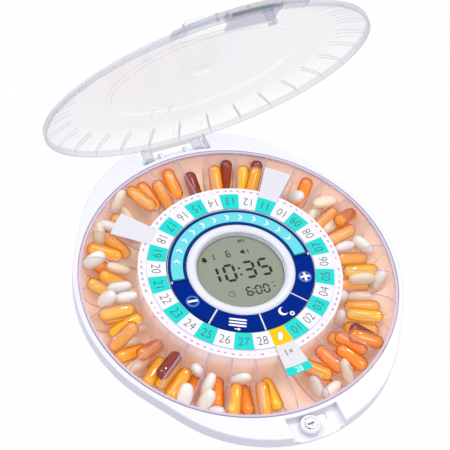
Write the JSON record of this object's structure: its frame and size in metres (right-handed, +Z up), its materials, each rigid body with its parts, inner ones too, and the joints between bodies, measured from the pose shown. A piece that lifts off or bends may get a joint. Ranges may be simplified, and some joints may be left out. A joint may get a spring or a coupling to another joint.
{
  "type": "automatic pill dispenser",
  "caption": "Round tabletop pill dispenser with a turning clear tray of dose compartments, a turret with display and keys, and a clear hinged lid.",
  "frame": {"origin": "on the tray's vertical axis, at the level that the rubber feet stand on, which is the centre of the bounding box's underside", "axes": "+Z up, the front with the lock towards -Y, the lid's hinge at +Y, +X to the right as seen from the front"},
  "size_m": [0.2076, 0.2327, 0.2433],
  "materials": {
    "white_plastic": "satin",
    "clear_plastic": "clear polished plastic",
    "tray_plastic": "clear plastic with a faint lavender tint",
    "frosted_plastic": "frosted",
    "foot_rubber": "matte",
    "screw_steel": "satin",
    "lock_metal": "polished",
    "battery_sleeve": "gloss sleeve",
    "contact_metal": "nickel plated",
    "board_laminate": "solder mask",
    "black_plastic": "moulded",
    "display_surface": "grey-green liquid crystal",
    "cyan_panel": "satin",
    "key_blue": "satin",
    "mat_silicone": "matte",
    "card_teal": "printed",
    "card_white": "plain",
    "label_teal": "printed strip",
    "gear_nylon": "moulded",
    "pinion_brass": "machined"
  },
  "bodies": {
    "base": {"upper_housing": "white_plastic", "lower_housing": "white_plastic", "rubber_feet": "foot_rubber", "housing_screws": "screw_steel", "battery_door": "white_plastic", "battery_door_screw": "screw_steel", "battery_contacts": "contact_metal", "circuit_board": "board_laminate", "board_screws": "screw_steel", "tact_switches": "black_plastic", "display_holder": "black_plastic", "display_glass": "display_surface", "display_window": "clear_plastic", "bezel_ring": "white_plastic", "arc_panel": "cyan_panel", "arc_spacer": "mat_silicone", "key_mat": "mat_silicone", "buzzer": "black_plastic", "tilt_sensor": "contact_metal", "position_switch": "black_plastic", "gear_plate": "screw_steel", "gear_plate_screws": "screw_steel", "drive_motor": "screw_steel", "motor_screws": "screw_steel", "compound_axle": "screw_steel", "shaft_bush": "pinion_brass", "lock_barrel": "white_plastic", "hinge_pin": "screw_steel", "battery_cell_1": "battery_sleeve", "battery_cell_2": "battery_sleeve", "battery_cell_3": "battery_sleeve", "battery_cell_4": "battery_sleeve"},
    "tray": {"tray_pan": "tray_plastic", "tray_dividers": "tray_plastic", "tray_ring_gear": "gear_nylon", "lower_ring_card": "card_white", "middle_ring_card": "card_white", "dose_ring_card": "card_teal"},
    "drive": {"drive_pinion": "gear_nylon", "drive_shaft": "screw_steel", "transfer_gear": "gear_nylon"},
    "compound": {"compound_gear": "gear_nylon"},
    "motor_shaft": {"motor_pinion": "pinion_brass"},
    "minus_key_body": {"minus_key": "key_blue"},
    "menu_key_body": {"menu_key": "key_blue"},
    "sleep_key_body": {"sleep_key": "key_blue"},
    "plus_key_body": {"plus_key": "key_blue"},
    "lock": {"lock_plug": "lock_metal", "lock_cam": "screw_steel"},
    "lid": {"lid_shell": "clear_plastic", "lid_label": "label_teal", "door_rails": "clear_plastic"},
    "door": {"dispensing_door": "frosted_plastic"}
  },
  "joints": [
    {"name": "tray_spin", "type": "hinge", "parent": "base", "child": "tray", "pos_m": [0, 0, 0.03], "axis": [0, 0, 1], "continuous": true},
    {"name": "drive_spin", "type": "hinge", "parent": "base", "child": "drive", "pos_m": [0, 0.0546, 0.036], "axis": [0, 0, 1], "continuous": true},
    {"name": "compound_spin", "type": "hinge", "parent": "base", "child": "compound", "pos_m": [0, 0.0471, 0.03], "axis": [0, 0, 1], "continuous": true},
    {"name": "motor_spin", "type": "hinge", "parent": "base", "child": "motor_shaft", "pos_m": [0, 0.0341, 0.025], "axis": [0, 0, 1], "continuous": true},
    {"name": "minus_key_press", "type": "slide", "parent": "base", "child": "minus_key_body", "axis": [0, 0, -1], "range_m": [0, 0.0006], "stiffness_N_per_m": 600},
    {"name": "menu_key_press", "type": "slide", "parent": "base", "child": "menu_key_body", "axis": [0, 0, -1], "range_m": [0, 0.0006], "stiffness_N_per_m": 600},
    {"name": "sleep_key_press", "type": "slide", "parent": "base", "child": "sleep_key_body", "axis": [0, 0, -1], "range_m": [0, 0.0006], "stiffness_N_per_m": 600},
    {"name": "plus_key_press", "type": "slide", "parent": "base", "child": "plus_key_body", "axis": [0, 0, -1], "range_m": [0, 0.0006], "stiffness_N_per_m": 600},
    {"name": "lock_turn", "type": "hinge", "parent": "base", "child": "lock", "pos_m": [-0.0035, -0.1096, 0.036], "axis": [0, 0, 1], "range_deg": [0, 45]},
    {"name": "lid_hinge", "type": "hinge", "parent": "base", "child": "lid", "pos_m": [0, 0.1066, 0.0347], "axis": [-1, 0, 0], "range_deg": [-69, 26]},
    {"name": "door_slide", "type": "slide", "parent": "lid", "child": "door", "axis": [-1, 0, 0], "range_m": [0, 0.022]}
  ],
  "couplings": [
    {"joint": "drive_spin", "follows": "tray_spin", "ratio": 9.6667},
    {"joint": "compound_spin", "follows": "tray_spin", "ratio": -14.5},
    {"joint": "motor_spin", "follows": "tray_spin", "ratio": 48.333}
  ]
}
